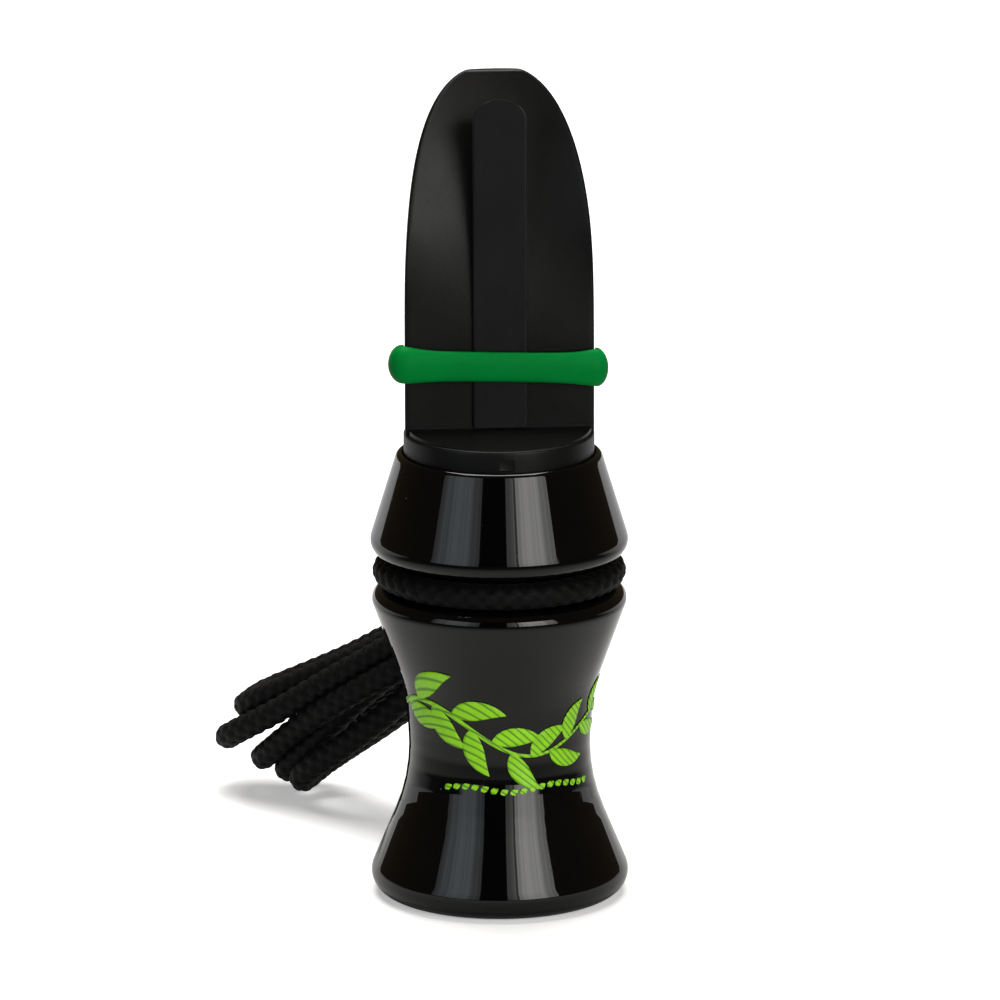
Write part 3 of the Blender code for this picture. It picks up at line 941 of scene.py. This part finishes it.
# Each bight: how far down the runs it reaches, where its fold is across the fan and in depth, and
# how far its runs sag between the tie and the fold, and how much its back run lies lower
BIGHTS = (
    (49.8, 7.0, 2.6, 1.3, 0.18),
    (53.9, 4.8, -0.6, 1.5, 0.10),
    (50.9, -0.9, -0.4, -2.2, 0.02),
    (49.3, -5.0, 0.6, -2.4, 0.05),
    (44.6, -7.0, -3.2, 1.0, 0.16),
)
FOLD_R = 6.3
TIE_SLOTS = (
    (1.0, 0.0, 7.4), (1.0, -3.7, 3.7), (-2.1, -5.6, 5.6), (-2.1, -1.9, 1.9), (-5.3, -3.7, 3.7),
)


def hank_route():
    """The route of the neck cord: out of the knot, down and back once for each bight."""
    local = [(-9.7, 2.7, -1.7), (-5.0, 3.4, -1.8)]
    for i, (bight, (slot, front, back)) in enumerate(zip(BIGHTS, TIE_SLOTS)):
        reach, across, deep, sag, lean = bight
        first = len(local)
        local += [(2.0, slot, front), (11.0, slot, front)]
        for share in (0.45, 0.75):
            local.append((
                11.0 + (reach - 11.0) * share,
                slot + (across - slot) * (share + 0.1) - sag * math.sin(math.pi * share),
                front + (deep - FOLD_R - front) * (share + 0.1),
            ))
        local.append((reach, across, deep - FOLD_R))
        for k in range(1, 4):
            angle = math.pi * (k / 4 - 0.5)
            local.append((
                reach + FOLD_R * math.cos(angle), across, deep + FOLD_R * math.sin(angle),
            ))
        local.append((reach, across, deep + FOLD_R))
        for share in (0.75, 0.45):
            local.append((
                11.0 + (reach - 11.0) * share,
                slot + (across - slot) * (share + 0.1) - sag * math.sin(math.pi * share),
                back + (deep + FOLD_R - back) * (share + 0.1),
            ))
        local += [(11.0, slot, back), (2.0, slot, back)]
        local[first:] = [(x, y - lean * z, z) for x, y, z in local[first:]]
        if i + 1 < len(BIGHTS):
            after, fore = TIE_SLOTS[i + 1][:2]
            local.append((-3.0 - 2.4 * (i % 2), (slot + after) / 2.0, (back + fore) / 2.0))
    local += [(-2.5, -2.2, 2.5), (-6.0, 1.0, 0.6), (-9.7, 2.0, 1.2)]
    top, run, across, depth = hank_frame()
    return [top + run * x + across * y + depth * z for x, y, z in local]


def settle(line, gap, rounds=260):
    """Let a limp cord find room near its route.

    It keeps its length as far as it can, lies about gap from itself, off the barrel and on or
    above the floor. The last rounds only ease out kinks.
    """
    p = line.copy()
    home = line.copy()
    count = len(p)
    rest = np.linalg.norm(np.diff(p, axis=0), axis=1)
    apart = np.abs(np.subtract.outer(np.arange(count), np.arange(count)))
    skip = int(math.ceil(gap * 1.7 / rest.mean()))
    far = apart > skip
    for _ in range(rounds):
        p[1:-1] += 0.35 * (0.5 * (p[:-2] + p[2:]) - p[1:-1])
        p += 0.01 * (home - p)
        p[:, 2] -= 0.004
        delta = p[:, None, :] - p[None, :, :]
        distance = np.sqrt((delta ** 2).sum(2)) + 1e-9
        close = far & (distance < gap)
        push = np.where(close, (gap - distance) / distance * 0.30, 0.0)
        p += (delta * push[:, :, None]).sum(1)
        for start in (0, 1):
            a, b = p[start:-1:2], p[start + 1::2]
            step = b - a
            long = np.linalg.norm(step, axis=1)
            fix = ((long - rest[start::2]) / long * 0.5)[:, None] * step
            a += fix
            b -= fix
        p[:, 2] = np.maximum(p[:, 2], gap / 2.0)
        out = np.hypot(p[:, 0], p[:, 1])
        short = out < HANK_ROOM
        p[short, :2] *= (HANK_ROOM / out[short])[:, None]
        p[:4], p[-4:] = home[:4], home[-4:]
    for _ in range(3):
        p[1:-1] += 0.5 * (0.5 * (p[:-2] + p[2:]) - p[1:-1])
    return p


def braid(name, line, radius, finish, yarns=4, pitch=2.35, around=32, spacing=0.38, relief=0.72):
    """A braided cord along a line: yarns run both ways round it, over and under each other."""
    path = evenly(line, spacing)
    count = len(path)
    tangents = np.gradient(path, axis=0)
    tangents /= np.linalg.norm(tangents, axis=1)[:, None]
    side = np.cross(tangents[0], (0.0, 0.0, 1.0))
    if np.linalg.norm(side) < 0.1:
        side = np.cross(tangents[0], (1.0, 0.0, 0.0))
    sides = np.zeros_like(path)
    for i, tangent in enumerate(tangents):
        side = side - tangent * side.dot(tangent)
        side /= np.linalg.norm(side)
        sides[i] = side
    ups = np.cross(tangents, sides)
    along = np.arange(count) * spacing
    around_at = np.arange(around) / around
    turn = yarns * around_at[None, :]
    one = turn + (along / pitch)[:, None]
    two = turn - (along / pitch)[:, None]
    row_one, row_two = np.round(one), np.round(two)
    over_one = 0.5 + 0.5 * np.cos(math.pi * (two - row_one))
    over_two = 0.5 - 0.5 * np.cos(math.pi * (one - row_two))
    crown_one = np.sqrt(np.maximum(0.0, 1.0 - (2.0 * (one - row_one)) ** 2))
    crown_two = np.sqrt(np.maximum(0.0, 1.0 - (2.0 * (two - row_two)) ** 2))
    high_one = 0.5 * over_one + 0.5 * crown_one
    high_two = 0.5 * over_two + 0.5 * crown_two
    height = np.maximum(high_one, high_two)
    reach = radius - relief * (1.0 - height)
    angle = 2.0 * math.pi * around_at
    cosines, sines = np.cos(angle)[None, :, None], np.sin(angle)[None, :, None]
    ring = sides[:, None, :] * cosines + ups[:, None, :] * sines
    verts = (path[:, None, :] + ring * reach[:, :, None]).reshape(-1, 3)
    made = mesh_object(name, verts.tolist(), tube_faces(count, around), finish)
    mesh = made.data
    top = mesh.attributes.new("top_yarn", "FLOAT", "POINT")
    top.data.foreach_set("value", (high_one - high_two).ravel().astype(np.float32))
    # How deep each point lies between the yarns; the cord finish reads it as painted shade in the
    # hollows.
    crevice_shade = mesh.attributes.new("crevice_shade", "FLOAT", "POINT")
    crevice_shade.data.foreach_set("value", ((1.0 - height) / 0.5).ravel().astype(np.float32))
    layer = mesh.uv_layers.new(name="braid")
    corners = np.zeros(len(mesh.loops), np.int64)
    mesh.loops.foreach_get("vertex_index", corners)
    ring_of, place = corners // around, corners % around
    spot = place / around
    quads = (count - 1) * around * 4
    order = np.arange(quads) % 4
    last = np.arange(quads) // 4 % around == around - 1
    wrap = last & ((order == 1) | (order == 2))
    spot[:quads][wrap] = 1.0
    u = yarns * spot + ring_of * spacing / pitch
    v = yarns * spot - ring_of * spacing / pitch
    layer.data.foreach_set("uv", np.column_stack([u, v]).ravel().astype(np.float32))
    return made, path * MM


def knot_line():
    """A trefoil drawn up tight, in the space of the knot's solid."""
    line = []
    for i in range(160):
        t = 2.0 * math.pi * i / 160
        x = math.sin(t) + 2.0 * math.sin(2.0 * t)
        y = math.cos(t) - 2.0 * math.cos(2.0 * t)
        z = -math.sin(3.0 * t)
        line.append((x / 3.0, z, y / 3.0))
    return np.array(line)


def lanyard(finish):
    """The loop in the groove, the knot that closes it, the folded neck cord and its tie."""
    loop = []
    steps = 72
    opening = math.radians(17.0)
    start = math.pi / 2.0 + opening
    sweep = 2.0 * math.pi - 2.0 * opening
    loop.append((-2.4, 22.0, LOOP_HEIGHT - 0.6))
    loop.append((-3.0, 19.0, LOOP_HEIGHT))
    for i in range(steps + 1):
        angle = start + sweep * i / steps
        loop.append((LOOP_R * math.cos(angle), LOOP_R * math.sin(angle), LOOP_HEIGHT))
    loop.append((3.0, 19.0, LOOP_HEIGHT))
    loop.append((2.4, 22.0, LOOP_HEIGHT - 0.6))
    loop_line = smoothed(loop, 0.5)
    loop_piece, loop_path = braid("lanyard_groove_loop", loop_line, CORD_R, finish)

    knot_path = knot_line() * (np.array(KNOT_HALF) - 1.55) / np.array((0.92, 1.0, 1.0))
    knot_path = knot_path + np.array(KNOT_CENTRE)
    knot_path = np.vstack([knot_path, knot_path[:1]])
    knot_piece = braid("lanyard_stopper_knot", knot_path, KNOT_CORD_R, finish)[0]

    route = smoothed(hank_route(), 1.6)
    route = settle(route, CORD_GAP)
    neck_line = smoothed(route[::2], 0.38)
    neck_piece, neck_path = braid("lanyard_neck_cord", neck_line, CORD_R, finish)

    tie_piece = lanyard_tie(finish)
    return loop_piece, loop_path, knot_piece, neck_piece, neck_path, tie_piece


def lanyard_tie(finish):
    """Two turns of thinner cord round the hank, tucked into each other."""
    top, run, across, depth = hank_frame()
    place = top + run * TIE_DOWN
    line = []
    steps = 96
    for i in range(steps + 1):
        angle = 2.0 * math.pi * 2.0 * i / steps
        c, s = math.cos(angle), math.sin(angle)
        y = math.copysign(abs(c) ** 0.55, c) * TIE_HALF[0]
        z = math.copysign(abs(s) ** 0.55, s) * TIE_HALF[1]
        line.append(place + run * (TIE_LEAD * (i / steps - 0.5)) + across * y + depth * z)
    return braid(
        "lanyard_hank_tie", smoothed(line, 0.5), TIE_R, finish, pitch=1.5, around=20, relief=0.2,
    )[0]


# Print on the waist

def on_barrel(outline, s, z, lift):
    """A point on the barrel's skin, s millimetres round from the camera's side, at a height."""
    radius = barrel_radius(z, outline)
    angle = math.radians(-90.0 + CAMERA_TURN) + s / WAIST_LOW[0]
    return ((radius + lift) * math.cos(angle), (radius + lift) * math.sin(angle), z)


def leaf_strip(start, heading, length, width, curl, rows=26, columns=6):
    """A pointed leaf as rows of (s, z): it starts at a point and bends by curl on its way."""
    s, z = start
    grid = []
    step = length / rows
    for i in range(rows + 1):
        t = i / rows
        angle = heading + curl * (t - 0.2)
        wide = width * math.sin(math.pi * t ** 0.8) ** 0.9 if 0.0 < t < 1.0 else 0.0
        wide = max(wide, 0.03)
        normal = (-math.sin(angle), math.cos(angle))
        grid.append([
            (s + normal[0] * wide * (k / columns - 0.5), z + normal[1] * wide * (k / columns - 0.5))
            for k in range(columns + 1)
        ])
        s += math.cos(angle) * step
        z += math.sin(angle) * step
    return grid


def stem_strip(points, width, rows=90, columns=2):
    """A ribbon along points of (s, z) that thins towards its end."""
    grid = []
    count = len(points)
    for i in range(rows + 1):
        at = i / rows * (count - 1)
        k = min(int(at), count - 2)
        s, z = Vector(points[k]).lerp(Vector(points[k + 1]), at - k)
        ahead = Vector(points[min(k + 1, count - 1)]) - Vector(points[k])
        ahead.normalize()
        wide = width * (1.0 - 0.6 * i / rows)
        grid.append([
            (s - ahead.y * wide * (c / columns - 0.5), z + ahead.x * wide * (c / columns - 0.5))
            for c in range(columns + 1)
        ])
    return grid


def waist_print(finish):
    """A sprig of leaves that climbs round the waist, with a row of beads under it."""
    outline = barrel_outline()
    verts, faces = [], []

    def add(grid):
        first = len(verts)
        columns = len(grid[0])
        for row in grid:
            verts.extend(on_barrel(outline, s, z, PRINT_LIFT) for s, z in row)
        for i in range(len(grid) - 1):
            for j in range(columns - 1):
                a = first + i * columns + j
                faces.append((a, a + 1, a + columns + 1, a + columns))

    stem = []
    for i in range(61):
        t = i / 60
        wave = 3.2 * math.sin(2.2 * math.pi * t + 0.4)
        stem.append((-17.0 + 34.0 * t, STEM_HEIGHT + wave - 2.5 * t))
    add(stem_strip(stem, 0.8))
    for i in range(3, 60, 5):
        s, z = stem[i]
        ahead = Vector(stem[i + 1]) - Vector(stem[i])
        slope = math.atan2(ahead.y, ahead.x)
        side = 1.0 if (i // 5) % 2 else -1.0
        size = 8.8 - 2.8 * i / 60
        add(leaf_strip((s, z), slope + side * 0.85, size, size * 0.38, -side * 0.9))
    add(leaf_strip(stem[-1], -0.1, 5.0, 1.8, 0.2))
    for i in range(17):
        s = -8.0 + 1.35 * i
        z = BEADS_HEIGHT + 0.35 * math.sin(i * 0.7)
        add(leaf_strip((s, z), 0.5, 1.25, 0.9, 0.0, rows=8, columns=4))
    made = mesh_object("waist_print", verts, faces, finish)
    thick = made.modifiers.new("Thickness", "SOLIDIFY")
    thick.thickness = PRINT_THICKNESS * MM
    thick.offset = -1.0
    return made


# Assembly

def main():
    camera()
    stage()

    cord_finish = braided_cord("black_braid")
    loop, loop_path, knot, neck, neck_path, tie = lanyard(cord_finish)
    for piece, node in (
        (loop, "lanyard_loop"), (knot, "lanyard_knot"),
        (neck, "lanyard_hank"), (tie, "lanyard_tie"),
    ):
        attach(piece, "lanyard")
        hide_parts(node)

    body = barrel(acrylic())
    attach(body, "barrel")
    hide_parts("barrel")
    sprig = waist_print(print_ink())
    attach(sprig, "barrel")

    board = toneboard(moulded_plastic())
    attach(board, "toneboard")
    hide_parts("toneboard")

    seal_finish = seal_rubber()
    for node, height in SEAL_HEIGHTS.items():
        ring = seal_ring("fine_" + node, height, seal_finish)
        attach(ring, "insert_slide")
        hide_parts(node)

    blade = reed(reed_film())
    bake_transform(blade)
    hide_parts("reed_tail", "reed_blade")

    band = tuning_band(band_rubber())
    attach(band, "band")
    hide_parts("tuning_band")


main()
